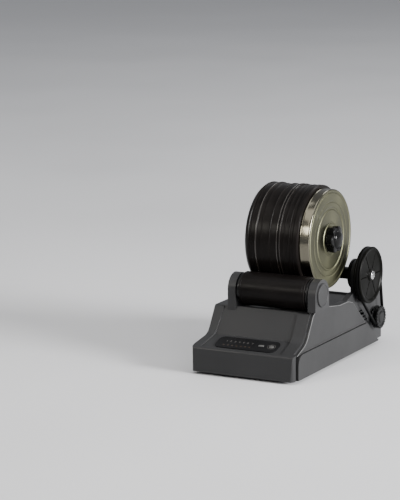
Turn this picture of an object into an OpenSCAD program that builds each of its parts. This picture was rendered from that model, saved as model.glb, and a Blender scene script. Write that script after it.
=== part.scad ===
// Rotary rock tumbler: a rubber barrel turning on two rollers over a moulded base.
// +X runs along the roller axes towards the belt drive, -Y is the control panel side, +Z is up.
// The origin lies on the resting plane, in the middle of the whole object's width and depth.

/* [Barrel] */
// Radius of the barrel's two riding bands
barrel_r = 57.5; // [56:0.5:59]
// Left end of the barrel along X
barrel_x0 = -34; // [-34:0.5:-32]
// Wall thickness of the rubber barrel
barrel_wall = 6; // [5:0.5:8]
// Outer radius of the metal lid
lid_r = 53.5; // [53:0.5:54]
// X position of the lid's outer face
lid_face_x = 41; // [40:0.5:42]
// Corner radius of the six-sided knob
knob_r = 15.5; // [13:0.5:18]

/* [Rollers] */
// Radius of the rubber roller sleeves
roller_r = 18; // [16:0.5:18]
// Distance between the two roller axes
roller_spacing = 117; // [112:1:118]
// Height of both roller axes
roller_z = 82.8; // [82:0.2:86]
// Radius of the steel roller shafts
shaft_r = 4; // [3:0.5:5]

/* [Base] */
// Front of the housing along Y
front_y = -117; // [-120:0.5:-116]
// Rear of the housing along Y
rear_y = 116; // [114:1:120]
// Wall thickness of the housing
wall = 2.5; // [2:0.25:3]
// Width of the front block
front_w = 119; // [118:1:122]
// Height of the front deck
deck_z = 65.3; // [64.5:0.1:65.5]
// Height of the rubber feet below the tray
foot_h = 3; // [2:0.5:4]

/* [Belt drive] */
// Outer radius of the large pulley
pulley_r = 31; // [28:0.5:32]
// Outer radius of the motor pulley
motor_pulley_r = 12.6; // [11:0.2:13]
// Y position of the motor axis
motor_y = 90; // [88:0.5:91]
// Height of the motor axis
motor_z = 30.5; // [29:0.5:31]

/* [Control panel] */
// Width of the overlay
panel_w = 71; // [66:1:76]
// Height of the overlay along the slope
panel_h = 21; // [19:0.5:22]
// Travel of the two keys
key_travel = 0.6; // [0.4:0.1:0.8]

/* [Hidden] */
$fn = 96;

// Barrel and lid
barrel_y = 4;
ride_gap = 0.3;
barrel_z = roller_z + sqrt(pow(barrel_r + roller_r + ride_gap, 2) - pow(roller_spacing / 2, 2));
barrel_x1 = lid_face_x - 11.5;
neck_len = 9;
neck_r = lid_r - 1.9;
cavity_r = 46;
seat_r = 48.2;
seat_x = barrel_x1 + 0.6;
lid_t = 1.2;
knob_gap = 0.1;
washer_r = 9;
washer_t = 1;
knob_x = lid_face_x + washer_t + knob_gap;
knob_t = 8;
knob_dome = 3.2;
knob_dome_r = 10.8;
scallop_r = 7;
flute_offset = 3;
stud_r = 3;
stud_end = knob_x + 7;
stud_head_r = 6;
insert_r = 5;
thread_gap = 0.06;

// Rollers and posts
front_axle_y = barrel_y - roller_spacing / 2;
rear_axle_y = barrel_y + roller_spacing / 2;
post_r = 16.5;
left_post_x = [-43.5, -34.5];
front_post_x = [50, 59];
rear_post_x = [45, 53];
roller_x = [-30, 46];
collar_r = 16.5;
bush_r = 7;
bush_flange_r = 9;
bush_flange_t = 1;
fit_gap = 0.05;
cap_r = 12.5;
cap_t = 1.6;
rear_sleeve_end = 10;
neck_hub_r = 6.7;
rear_collar_w = 2.8;
end_gap = 0.4;

// Housing
tray_t = 2.5;
tray_top = foot_h + tray_t;
ledge_y = -86;
ledge_z = 38.3;
lip_z = 28.5;
lip_y = front_y + 1.5;
deck_y = -69.5;
mid_x = -4;
front_x = [mid_x - front_w / 2, mid_x + front_w / 2];
side_x = mid_x + 56;
side_left_x = mid_x - 55.5;
cradle_z = 46.5;
cradle_y = [-36, rear_y - 5];
cradle_x = [-34, 45.5];
rear_rim_z = 49;
trough_z = 62;
shelf_cavity_z = 54.5;
panel_recess = 1;
recess_deck_x = [-47.5, 38];
recess_lip_x = [-54.5, 39];
cover_t = 3.5;
cover_gap = 0.15;
skirt_x = mid_x + 61.5;
left_skirt_x = mid_x - 61.5;
skirt_top = 29;
skirt_front = front_y + 8.6;
left_skirt_front = -88;
tab_y = [-76, -16, 34];
tab_t = 1.2;
screw_x = [mid_x - 48, mid_x + 48];
screw_y = [-100, rear_y - 8];
screw_hole_r = 1.3;
foot_x = [mid_x - 46, mid_x + 46];
foot_y = [-88, 96];
inlet_x = -24;
inlet_z = 16;
inlet_w = 11;
slant_y = 28;
slant_z = 60;
slant_slope = 45 / 52;

// Belt drive
belt_x = 59;
belt_w = 3;
belt_t = 2.2;
groove_depth = 2.6;
belt_clear = 0.15;
pulley_x = [55, 63];
motor_pulley_x = [55.4, 63];
motor_shaft_r = 2.5;
gear_x = [18, 45];
gear_r = 13;
motor_x = [-14, gear_x[0]];
motor_r = 12;
bracket_x = [45, 47];
motor_screw_y = [motor_y - 9, motor_y + 9];

// Control panel
slope_a = atan((ledge_z - lip_z) / (ledge_y - lip_y));
panel_x = -5.5;
panel_mid = 17;
overlay_t = 0.8;
light_count = 7;
light_pitch = 5;
light_x = -31;
timer_x = 10.3;
power_x = 22.3;
board_drop = 7;
board_t = 1.6;
board_w = 66;
board_h = 18;
switch_h = 2.2;
key_bottom = -board_drop + switch_h + key_travel + 0.2;
key_top = overlay_t + 0.3;

// Points of a polygon whose corners [x, y, radius] are rounded off by short chords
function unit(v) = v / norm(v);
function corner(a, b, c, n) =
    b[2] == 0 ? [[b[0], b[1]]] :
    let (p = [b[0], b[1]], u = unit([a[0], a[1]] - p), v = unit([c[0], c[1]] - p),
         half = acos(u * v) / 2, m = p + unit(u + v) * b[2] / sin(half),
         s = p + u * b[2] / tan(half) - m, e = p + v * b[2] / tan(half) - m,
         a0 = atan2(s[1], s[0]), turn = atan2(s[0] * e[1] - s[1] * e[0], s * e))
    [for (i = [0:n]) m + b[2] * [cos(a0 + turn * i / n), sin(a0 + turn * i / n)]];
function rounded(pts, n = 5) =
    let (k = len(pts))
    [for (i = [0:k - 1]) each corner(pts[(i + k - 1) % k], pts[i], pts[(i + 1) % k], n)];

// Extrudes an outline drawn in (Y, Z) along X from a to b
module along_x(a, b) {
    translate([a, 0, 0]) rotate([90, 0, 90]) linear_extrude(b - a) children();
}

// Round bar along X from a to b
module bar(a, b, r, y, z) {
    translate([a, y, z]) rotate([0, 90, 0]) cylinder(h = b - a, r = r);
}

// Box given by its low and high corners
module block(lo, hi) {
    translate(lo) cube(hi - lo);
}

// Turned shape about the X axis at (y, z); the outline's points are [radius, x]
module turned(y, z) {
    translate([0, y, z]) rotate([0, 90, 0]) rotate([0, 0, 180]) rotate_extrude() children();
}

// Places children on the sloped panel: local X along the panel, local Y up the slope
module on_slope() {
    translate([0, lip_y, recess_z(lip_y)]) rotate([slope_a, 0, 0]) children();
}

// Height of the recessed panel surface at y
function recess_z(y) = lip_z - panel_recess / cos(slope_a) + (y - lip_y) * tan(slope_a);

module pill(w, h, r) {
    polygon(rounded([[-w / 2, -h / 2, r], [w / 2, -h / 2, r], [w / 2, h / 2, r], [-w / 2, h / 2, r]], 8));
}

// ---- Housing ----

side_profile = [[front_y, foot_h, 0], [lip_y, lip_z, 2.5], [ledge_y, ledge_z, 20], [deck_y, deck_z, 4],
                [-34, deck_z + 0.2, 10], [-4, 61.4, 30], [22, 61.2, 12], [38, 66.5, 6], [82, 64, 8],
                [rear_y - 3, 54, 4], [rear_y, 30, 0], [rear_y, foot_h, 0]];
plan_profile = [[front_x[0], front_y, 5], [front_x[1], front_y, 5], [front_x[1], front_y + 7, 1.2],
                [side_x, front_y + 8, 0], [side_x, rear_y, 4], [side_left_x, rear_y, 4],
                [side_left_x, left_skirt_front - 2, 12], [front_x[0], front_y + 9, 8]];

module housing_outside() {
    intersection() {
        along_x(front_x[0], front_x[1]) polygon(rounded(side_profile));
        translate([0, 0, foot_h]) linear_extrude(deck_z + 10) polygon(rounded(plan_profile));
    }
}

module post(xs, y, foot_z) {
    bar(xs[0], xs[1], post_r, y, roller_z);
    block([xs[0], y - post_r, foot_z], [xs[1], y + post_r, roller_z]);
}

// Hollow inside the housing, with a second one under the left-hand shelf
module cavity() {
    roof = wall + 0.1;
    along_x(side_left_x + wall, side_x - wall)
        polygon([[front_y + wall, foot_h - 1], [lip_y + wall, recess_z(lip_y + wall) - roof],
                 [ledge_y + wall / 2, recess_z(ledge_y + wall / 2) - roof],
                 [deck_y + wall + 1.4, trough_z - wall],
                 [cradle_y[0] - wall, trough_z - wall], [cradle_y[0] - wall, cradle_z - wall],
                 [rear_y - wall, cradle_z - wall], [rear_y - wall, foot_h - 1]]);
    block([side_left_x + wall, cradle_y[0] - wall - 1, cradle_z - wall - 1],
          [cradle_x[0] - wall, rear_y - 12, shelf_cavity_z]);
}

// The open cradle below the barrel, lower at its rear rim, and the front roller's trough
module cradle() {
    above = deck_z + 20;
    block([cradle_x[0], cradle_y[0], cradle_z], [cradle_x[1], cradle_y[1], above]);
    block([cradle_x[0], cradle_y[1] - 1, rear_rim_z], [cradle_x[1], rear_y + 1, above]);
    block([left_post_x[1], front_axle_y - post_r + 8.5, trough_z], [front_post_x[0], cradle_y[0] + 1, above]);
}

// Recess that runs from behind the lip, over the ledge and up to the deck; it widens towards the lip
module panel_recess_cut() {
    start = lip_y + 4;
    inner = ledge_y + 0.66 * panel_recess;
    rise = (deck_z - ledge_z) / (deck_y - ledge_y);
    over = deck_y - ledge_y + 4;
    intersection() {
        along_x(recess_lip_x[0], recess_lip_x[1])
            polygon([[start, recess_z(start)], [inner, recess_z(inner)],
                     [inner + over, recess_z(inner) + over * rise], [start, deck_z + 20]]);
        linear_extrude(deck_z + 20)
            polygon([[recess_lip_x[0], start], [recess_lip_x[1], start],
                     [recess_deck_x[1], inner + over], [recess_deck_x[0], inner + over]]);
    }
}

module vent_slots() {
    for (row = [0:3]) {
        z = 43 - 4 * row;
        y = slant_at(z) + 5;
        block([side_x - wall - 1, y, z - 0.9], [side_x + 1, y + 9, z + 0.9]);
    }
}

// Screw boss that hangs from the inside of the housing
module screw_boss(x, y) {
    top = y < 0 ? 29 : cradle_z - 1;
    translate([x, y, tray_top + 0.1]) cylinder(h = top - tray_top, r = 3.6);
}

// Stand-offs between the sloped panel and the control board
module board_standoffs() {
    on_slope()
        for (x = [panel_x - board_w / 2 + 2, panel_x + board_w / 2 - 2], y = [panel_mid - 6, panel_mid + 6])
            translate([x, y, -board_drop]) cylinder(h = board_drop - 1.5, r = 1.8);
}

// Openings through the sloped panel for the lights and the two keys
module panel_openings(deep, through) {
    for (i = [0:light_count - 1])
        translate([light_x + light_pitch * i, panel_mid - 5, -deep]) cylinder(h = through, r = 1.1);
    translate([timer_x, panel_mid, -deep]) linear_extrude(through) pill(7.4, 3.8, 1.8);
    translate([power_x, panel_mid, -deep]) cylinder(h = through, r = 3.1);
}

// Bars that join the skirts to the tray under the housing's side walls
module skirt_tabs(gap) {
    for (y = tab_y, xs = [[side_x - 6, skirt_x - 1], [left_skirt_x + 1, side_left_x + 6]])
        block([xs[0], y - 6 - gap, foot_h - gap], [xs[1], y + 6 + gap, foot_h + tab_t + gap]);
}

cover_pegs = [[-76, 36], [-46, 50], [18, 40]];

module upper_housing() {
    color("dimgray") difference() {
        union() {
            difference() {
                housing_outside();
                panel_recess_cut();
                cavity();
                cradle();
            }
            post(left_post_x, front_axle_y, deck_z - 4);
            post(left_post_x, rear_axle_y, deck_z - 8);
            post(rear_post_x, rear_axle_y, deck_z - 8);
            post(front_post_x, front_axle_y, deck_z + 1.6);
            block([front_post_x[0], front_axle_y - post_r + 4, deck_z - 4],
                  [side_x - 0.2, front_axle_y + post_r, deck_z + 2]);
            for (x = screw_x, y = screw_y) screw_boss(x, y);
            board_standoffs();
        }
        for (xs = [left_post_x, front_post_x]) bar(xs[0] - 1, xs[1] + 1, bush_r, front_axle_y, roller_z);
        for (xs = [left_post_x, rear_post_x]) bar(xs[0] - 1, xs[1] + 1, bush_r, rear_axle_y, roller_z);
        for (x = screw_x, y = screw_y) translate([x, y, 0]) cylinder(h = tray_top + 12, r = screw_hole_r);
        for (p = cover_pegs) bar(side_x - wall - 1, side_x + 1, 2.6, p[0], p[1]);
        bar(side_x - wall - 1, side_x + 1, 8, motor_y, motor_z);
        vent_slots();
        skirt_tabs(0.1);
        block([inlet_x - inlet_w / 2 - 0.1, rear_y - 6, inlet_z - inlet_w / 2 - 0.1],
              [inlet_x + inlet_w / 2 + 0.1, rear_y + 2, inlet_z + inlet_w / 2 + 0.1]);
        on_slope() panel_openings(8, 12);
    }
}

// ---- Tray, cover, feet and screws ----

// Y position at height z of the slanted line that ends the skirt and the cover
function slant_at(z) = slant_y + (slant_z - z) / slant_slope;

module skirt(x0, x1, front, top_end, tail) {
    along_x(x0, x1)
        polygon(rounded([[front, foot_h, 0], [front, skirt_top, 11], [top_end, skirt_top, 1],
                         [tail, foot_h, 0]]));
}

module base_tray() {
    color("gray") difference() {
        union() {
            block([side_left_x + wall + 0.1, front_y + wall + 0.3, foot_h],
                  [side_x - wall - 0.1, rear_y - wall - 0.3, tray_top]);
            skirt(side_x + 0.2, skirt_x, skirt_front, slant_at(skirt_top), slant_at(foot_h));
            skirt(left_skirt_x, side_left_x - 0.2, left_skirt_front, rear_y - 7, rear_y - 5);
            skirt_tabs(0);
        }
        for (x = screw_x, y = screw_y) translate([x, y, 0]) cylinder(h = 20, r = 1.9);
        for (i = [0:5]) block([mid_x - 32, -26 + 9 * i, 0], [mid_x + 32, -22.5 + 9 * i, 20]);
    }
}

module drive_side_cover() {
    x0 = side_x + cover_gap;
    low = skirt_top + 0.5;
    color("gray") {
        along_x(x0, side_x + cover_t)
            polygon(rounded([[skirt_front - 0.2, skirt_top - 1, 0], [ledge_y + 0.8, ledge_z - 1.4, 20],
                             [deck_y + 1, deck_z - 2, 5], [deck_y + 7, deck_z + 1, 3],
                             [-34, deck_z + 1, 12], [-4, 61.8, 30], [18, 61.6, 8],
                             [slant_at(58), 58, 3], [slant_at(low), low, 0], [skirt_front + 12, low, 2]]));
        for (p = cover_pegs) bar(side_x - wall - 0.5, x0 + 1, 2.5, p[0], p[1]);
    }
}

module rubber_feet() {
    color("black") for (x = foot_x, y = foot_y) translate([x, y, 0]) cylinder(h = foot_h, r = 7);
}

module housing_screws() {
    color("silver") for (x = screw_x, y = screw_y) translate([x, y, 0]) {
        translate([0, 0, foot_h - 1.6]) cylinder(h = 1.6, r = 3.2);
        translate([0, 0, foot_h - 0.5]) cylinder(h = tray_top + 8 - foot_h, r = 1.28);
    }
}

// ---- Control panel ----

module control_panel() {
    color("black") on_slope() difference() {
        translate([panel_x, panel_mid, 0.05]) linear_extrude(overlay_t) pill(panel_w, panel_h, 6.5);
        panel_openings(1, 4);
    }
}

module indicator_lights() {
    color("orange") on_slope() for (i = [0:light_count - 1])
        translate([light_x + light_pitch * i, panel_mid - 5, -board_drop])
            cylinder(h = board_drop + 0.7, r = 1);
}

// The two keys; each has a flange that keeps it behind the sloped panel
module power_button() {
    color("darkgray") on_slope() translate([power_x, panel_mid, key_bottom]) {
        cylinder(h = key_top - key_bottom, r = 2.7);
        cylinder(h = 1, r = 4.2);
    }
}

module timer_button() {
    color("darkgray") on_slope() translate([timer_x, panel_mid, key_bottom]) {
        linear_extrude(key_top - key_bottom) pill(6.6, 3, 1.45);
        linear_extrude(1) pill(9.4, 5.4, 2);
    }
}

module control_board() {
    color("green") on_slope()
        translate([panel_x - board_w / 2, panel_mid - board_h / 2, -board_drop - board_t])
            cube([board_w, board_h, board_t]);
}

module key_switches() {
    color("dimgray") on_slope() for (x = [timer_x, power_x]) translate([x, panel_mid, -board_drop]) {
        translate([-3, -3, 0]) cube([6, 6, 1.4]);
        cylinder(h = switch_h, r = 1.6);
    }
}

module dc_inlet() {
    color("black") translate([inlet_x, rear_y, inlet_z]) rotate([90, 0, 0]) difference() {
        union() {
            translate([0, 0, -0.8]) linear_extrude(0.8) square(inlet_w + 2.2, center = true);
            linear_extrude(12) square(inlet_w, center = true);
        }
        translate([0, 0, -2]) cylinder(h = 11, r = 2.9);
    }
}

// ---- Rollers ----

module front_roller_shaft() {
    color("silver") bar(left_post_x[0] + 0.5, front_post_x[1] - 0.5, shaft_r, front_axle_y, roller_z);
}

module sleeve(x0, x1, r, bore, y) {
    turned(y, roller_z) polygon([[bore, x0], [r - 0.8, x0], [r, x0 + 0.8], [r, x1 - 0.8],
                                 [r - 0.8, x1], [bore, x1]]);
}

module front_roller_sleeve() {
    color("black") sleeve(roller_x[0], roller_x[1], roller_r, shaft_r, front_axle_y);
}

module front_roller_collars() {
    color("black") {
        sleeve(roller_x[1], front_post_x[0] - bush_flange_t - end_gap, collar_r, shaft_r, front_axle_y);
        sleeve(left_post_x[1] + bush_flange_t + end_gap, roller_x[0], collar_r, shaft_r, front_axle_y);
    }
}

// Flanged bushing; the flange is on the side that dir points to
module bushing(xs, dir, y) {
    face = dir > 0 ? xs[1] : xs[0] - bush_flange_t;
    color("ivory") difference() {
        union() {
            bar(xs[0], xs[1], bush_r, y, roller_z);
            bar(face, face + bush_flange_t, bush_flange_r, y, roller_z);
        }
        bar(xs[0] - 3, xs[1] + 3, shaft_r + fit_gap, y, roller_z);
    }
}

module front_bushings() {
    bushing(left_post_x, 1, front_axle_y);
    bushing(front_post_x, -1, front_axle_y);
}

module rear_bushings() {
    bushing(left_post_x, 1, rear_axle_y);
    bushing(rear_post_x, -1, rear_axle_y);
}

module cap(x0, x1, y) {
    color("gray") bar(x0, x1, cap_r, y, roller_z);
}

module bearing_caps() {
    cap(front_post_x[1], front_post_x[1] + cap_t, front_axle_y);
    cap(left_post_x[0] - cap_t, left_post_x[0], front_axle_y);
    cap(left_post_x[0] - cap_t, left_post_x[0], rear_axle_y);
}

module rear_roller_shaft() {
    color("silver") bar(left_post_x[0] + 0.5, pulley_x[1] - 1.5, shaft_r, rear_axle_y, roller_z);
}

module rear_roller_core() {
    end = rear_post_x[0] - bush_flange_t - end_gap;
    color("black") {
        sleeve(roller_x[0] + 0.5, end - rear_collar_w, neck_hub_r, shaft_r, rear_axle_y);
        sleeve(end - rear_collar_w, end, collar_r, shaft_r, rear_axle_y);
    }
}

module rear_roller_sleeve() {
    color("black") sleeve(roller_x[0] + 0.5, rear_sleeve_end, roller_r, neck_hub_r, rear_axle_y);
}

// ---- Belt drive ----

module drive_pulley() {
    web = pulley_x[1] - 1.4;
    color([0.22, 0.22, 0.2]) difference() {
        turned(rear_axle_y, roller_z)
            polygon([[shaft_r, pulley_x[0] - 1.2], [9, pulley_x[0] - 1.2], [9, pulley_x[0]],
                     [pulley_r, pulley_x[0]], [pulley_r, belt_x - belt_w / 2 - 0.5],
                     [pulley_r - groove_depth, belt_x - belt_w / 2 - belt_clear],
                     [pulley_r - groove_depth, belt_x + belt_w / 2 + belt_clear],
                     [pulley_r, belt_x + belt_w / 2 + 0.5], [pulley_r, pulley_x[1] - 0.8],
                     [pulley_r - 0.8, pulley_x[1]], [pulley_r - 3, pulley_x[1]], [pulley_r - 3.6, web],
                     [7, web], [6.4, pulley_x[1]], [shaft_r, pulley_x[1]]]);
        for (i = [0:5]) translate([web - 1.2, rear_axle_y, roller_z]) rotate([60 * i + 30, 0, 0])
            translate([0, -0.6, 8]) cube([5, 1.2, pulley_r - 14]);
    }
}

module pulley_screw() {
    color("silver") {
        bar(pulley_x[1] - 1.45, pulley_x[1] + 0.6, shaft_r - 0.1, rear_axle_y, roller_z);
        difference() {
            bar(pulley_x[1] + 0.05, pulley_x[1] + 2.4, 4.6, rear_axle_y, roller_z);
            translate([pulley_x[1] + 1.2, rear_axle_y - 0.5, roller_z - 3.4]) cube([3, 1, 6.8]);
            translate([pulley_x[1] + 1.2, rear_axle_y - 3.4, roller_z - 0.5]) cube([3, 6.8, 1]);
        }
    }
}

module motor_pulley() {
    r = motor_pulley_r;
    mid = belt_x;
    color([0.12, 0.12, 0.1]) turned(motor_y, motor_z)
        polygon([[motor_shaft_r, motor_pulley_x[0]], [r, motor_pulley_x[0]], [r, mid - belt_w / 2 - 0.4],
                 [r - groove_depth, mid - belt_w / 2 - belt_clear],
                 [r - groove_depth, mid + belt_w / 2 + belt_clear], [r, mid + belt_w / 2 + 0.4],
                 [r, motor_pulley_x[1] - 0.8], [r - 0.8, motor_pulley_x[1]], [6.2, motor_pulley_x[1]],
                 [5.4, motor_pulley_x[1] - 1], [motor_shaft_r, motor_pulley_x[1] - 1]]);
}

module motor_shaft() {
    color("silver") bar(gear_x[1] - 6, motor_pulley_x[1] - 0.4, motor_shaft_r, motor_y, motor_z);
}

// Outline of a belt run at a distance r1 from the pulley axis and r2 from the motor axis
function belt_loop(r1, r2) =
    let (p1 = [rear_axle_y, roller_z], p2 = [motor_y, motor_z], d = p2 - p1, along = atan2(d[1], d[0]),
         open = acos((r1 - r2) / norm(d)), n = 40)
    concat([for (i = [0:n]) let (t = along + open + (360 - 2 * open) * i / n) p1 + r1 * [cos(t), sin(t)]],
           [for (i = [0:n]) let (t = along - open + 2 * open * i / n) p2 + r2 * [cos(t), sin(t)]]);

module drive_belt() {
    r1 = pulley_r - groove_depth + belt_clear;
    r2 = motor_pulley_r - groove_depth + belt_clear;
    color("black") along_x(belt_x - belt_w / 2, belt_x + belt_w / 2) difference() {
        polygon(belt_loop(r1 + belt_t, r2 + belt_t));
        polygon(belt_loop(r1, r2));
    }
}

// ---- Motor ----

module gearhead() {
    color("silver") difference() {
        bar(gear_x[0], gear_x[1], gear_r, motor_y, motor_z);
        bar(gear_x[1] - 7, gear_x[1] + 1, motor_shaft_r + fit_gap, motor_y, motor_z);
        for (y = motor_screw_y) bar(gear_x[1] - 5, gear_x[1] + 1, screw_hole_r, y, motor_z);
    }
}

module motor() {
    color("darkgray") {
        bar(motor_x[0], motor_x[1], motor_r, motor_y, motor_z);
        bar(motor_x[0] - 2, motor_x[0] + 1, 4, motor_y, motor_z);
        for (s = [-1, 1]) block([motor_x[0] - 5, motor_y + 6 * s - 1.4, motor_z - 0.25],
                                [motor_x[0] + 1, motor_y + 6 * s + 1.4, motor_z + 0.25]);
    }
}

module motor_bracket() {
    lo_y = motor_y - gear_r;
    hi_y = motor_y + gear_r;
    color("lightgray") difference() {
        union() {
            block([bracket_x[0], lo_y, tray_top], [bracket_x[1], hi_y, motor_z + 12.5]);
            block([bracket_x[0] - 16, lo_y, tray_top], [bracket_x[1], hi_y, tray_top + 2]);
        }
        bar(bracket_x[0] - 1, bracket_x[1] + 1, 5.5, motor_y, motor_z);
        for (y = motor_screw_y) bar(bracket_x[0] - 1, bracket_x[1] + 1, 1.7, y, motor_z);
    }
}

module motor_screws() {
    color("silver") for (y = motor_screw_y) {
        bar(gear_x[1] - 4.5, bracket_x[1] + 0.1, screw_hole_r - 0.02, y, motor_z);
        bar(bracket_x[1], bracket_x[1] + 1.6, 2.6, y, motor_z);
    }
}

// ---- Barrel and lid ----

// Ridges on the barrel as [x, height above the body, half width]
body_r = barrel_r - 1.2;
ridges = [[-27.5, 0.5, 1], [-20, 0.9, 1], [-14, 0.5, 0.8], [-4, 0.6, 0.8], [5, 0.6, 0.8],
          [8.5, 0.5, 0.7], [13, 0.7, 0.8], [19.5, 0.6, 0.8]];

module barrel() {
    color([0.1, 0.1, 0.1]) turned(barrel_y, barrel_z)
        polygon(concat(
            [[0, barrel_x0 + barrel_wall], [0, barrel_x0], [barrel_r - 5, barrel_x0],
             [barrel_r - 1.5, barrel_x0 + 1.5], [barrel_r - 0.6, barrel_x0 + 4], [body_r, barrel_x0 + 5]],
            [for (d = ridges) each [[body_r, d[0] - d[2]], [body_r + d[1], d[0] - d[2] / 3],
                                    [body_r + d[1], d[0] + d[2] / 3], [body_r, d[0] + d[2]]]],
            [[body_r, barrel_x1 - 6.5], [barrel_r - 0.3, barrel_x1 - 5.5], [barrel_r - 0.3, barrel_x1 - 1.5],
             [barrel_r - 1.6, barrel_x1], [neck_r, barrel_x1], [neck_r, barrel_x1 + neck_len],
             [seat_r, barrel_x1 + neck_len], [seat_r, seat_x], [cavity_r, seat_x],
             [cavity_r, barrel_x0 + barrel_wall]]));
}

module inner_lid() {
    color("silver") difference() {
        union() {
            bar(seat_x + 0.05, seat_x + 2.2, seat_r - 0.3, barrel_y, barrel_z);
            bar(seat_x - 3, seat_x + 1, cavity_r - 0.4, barrel_y, barrel_z);
        }
        bar(seat_x - 4, seat_x + 4, stud_r, barrel_y, barrel_z);
    }
}

module lid_stud() {
    color("silver") {
        bar(seat_x - 3, stud_end, stud_r, barrel_y, barrel_z);
        bar(seat_x - 5, seat_x - 3, stud_head_r, barrel_y, barrel_z);
    }
}

module outer_lid() {
    inner = lid_face_x - lid_t;
    rim = lid_r - lid_t;
    color([0.6, 0.58, 0.52]) turned(barrel_y, barrel_z)
        polygon([[stud_r + 0.4, inner], [17, inner], [17.8, inner - 0.7], [31, inner - 0.7],
                 [32.6, inner], [rim - 1.4, inner], [rim, inner - 1.4], [rim, barrel_x1 + 0.5],
                 [lid_r, barrel_x1 + 0.5], [lid_r, lid_face_x - 2], [lid_r - 0.6, lid_face_x - 0.6],
                 [lid_r - 2, lid_face_x], [33.2, lid_face_x], [31.6, lid_face_x - 0.7],
                 [18.4, lid_face_x - 0.7], [17.6, lid_face_x], [stud_r + 0.4, lid_face_x]]);
}

module lid_washer() {
    color("silver") difference() {
        bar(lid_face_x, lid_face_x + washer_t, washer_r, barrel_y, barrel_z);
        bar(lid_face_x - 1, lid_face_x + 3, stud_r + 0.4, barrel_y, barrel_z);
    }
}

module knob_insert() {
    color("gold") difference() {
        bar(knob_x + 0.2, knob_x + knob_t, insert_r, barrel_y, barrel_z);
        bar(knob_x - 1, knob_x + knob_t - 0.6, stud_r + thread_gap, barrel_y, barrel_z);
    }
}

module lid_knob() {
    color([0.08, 0.08, 0.08]) difference() {
        union() {
            along_x(knob_x, knob_x + knob_t) translate([barrel_y, barrel_z])
                polygon(rounded([for (i = [0:5]) [knob_r * cos(60 * i), knob_r * sin(60 * i), 2.4]], 4));
            turned(barrel_y, barrel_z)
                polygon(concat([[0, knob_x + knob_t - 0.5], [knob_dome_r, knob_x + knob_t - 0.5]],
                               [for (a = [0:15:90])
                                    [knob_dome_r * cos(a), knob_x + knob_t + knob_dome * sin(a)]]));
        }
        bar(knob_x - 1, knob_x + knob_t, insert_r, barrel_y, barrel_z);
        for (i = [0:5]) translate([0, barrel_y, barrel_z]) rotate([60 * i + 30, 0, 0])
            bar(knob_x - 1, knob_x + knob_t + 3, scallop_r, knob_r + flute_offset, 0);
    }
}

upper_housing();
base_tray();
drive_side_cover();
rubber_feet();
housing_screws();
control_panel();
indicator_lights();
power_button();
timer_button();
control_board();
key_switches();
dc_inlet();
front_roller_shaft();
front_roller_sleeve();
front_roller_collars();
front_bushings();
rear_bushings();
bearing_caps();
rear_roller_shaft();
rear_roller_core();
rear_roller_sleeve();
drive_pulley();
pulley_screw();
drive_belt();
motor_pulley();
motor_shaft();
gearhead();
motor();
motor_bracket();
motor_screws();
barrel();
inner_lid();
lid_stud();
outer_lid();
lid_washer();
knob_insert();
lid_knob();
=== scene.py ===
import math

import bmesh
import bpy
from mathutils import Matrix, Vector


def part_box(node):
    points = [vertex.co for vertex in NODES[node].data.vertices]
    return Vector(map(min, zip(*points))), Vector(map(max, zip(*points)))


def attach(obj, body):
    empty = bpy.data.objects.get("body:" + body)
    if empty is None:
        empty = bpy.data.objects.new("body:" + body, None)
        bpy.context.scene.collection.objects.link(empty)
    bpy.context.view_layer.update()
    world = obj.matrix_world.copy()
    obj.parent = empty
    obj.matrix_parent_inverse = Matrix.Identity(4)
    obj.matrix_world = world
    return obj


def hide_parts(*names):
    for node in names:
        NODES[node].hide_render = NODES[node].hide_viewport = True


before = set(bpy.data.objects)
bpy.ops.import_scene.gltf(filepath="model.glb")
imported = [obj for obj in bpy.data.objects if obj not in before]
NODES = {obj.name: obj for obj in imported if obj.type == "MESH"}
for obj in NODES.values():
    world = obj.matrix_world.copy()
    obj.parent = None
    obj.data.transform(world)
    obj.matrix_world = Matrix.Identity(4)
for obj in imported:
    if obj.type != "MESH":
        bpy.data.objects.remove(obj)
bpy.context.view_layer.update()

MM = 0.001

# Lengths in millimetres that several pieces share.
SHAFT_R = 4.0           # the roller shafts
ROLLER_NECK_R = 6.7     # the rear roller's neck, inside its rubber tube
GROOVE_HALF = 1.65      # half the belt groove's width in both pulleys
GROOVE_DEPTH = 2.6
BELT_HALF_T = 1.1       # half the belt's thickness
BELT_LIFT = 0.15        # space between the belt and the groove's floor
INK_T = 0.04            # thickness of a printed mark

# Inputs A and B and output of a Mix node, by its data type.
MIX_SOCKETS = {"FLOAT": (2, 3, 0), "RGBA": (6, 7, 2)}


# ---- Where things are, read from the frame ----

class Turned:
    """The axis line (along X), reach and outer radius of a turned CAD node, in millimetres."""

    def __init__(self, node):
        low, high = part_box(node)
        self.x0, self.x1 = low.x / MM, high.x / MM
        self.y, self.z = (low.y + high.y) / 2 / MM, (low.z + high.z) / 2 / MM
        self.r = (high.z - low.z) / 2 / MM


def added(name, data):
    """A new object that shows the data, linked to the scene."""
    made = bpy.data.objects.new(name, data)
    bpy.context.scene.collection.objects.link(made)
    return made


def direction(azimuth, elevation):
    """The unit vector towards azimuth (0 is the front, 90 the right) and elevation, in degrees."""
    a, e = math.radians(azimuth), math.radians(elevation)
    return Vector((math.sin(a) * math.cos(e), -math.cos(a) * math.cos(e), math.sin(e)))


# ---- Mesh helpers; all outlines are in millimetres ----

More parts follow.
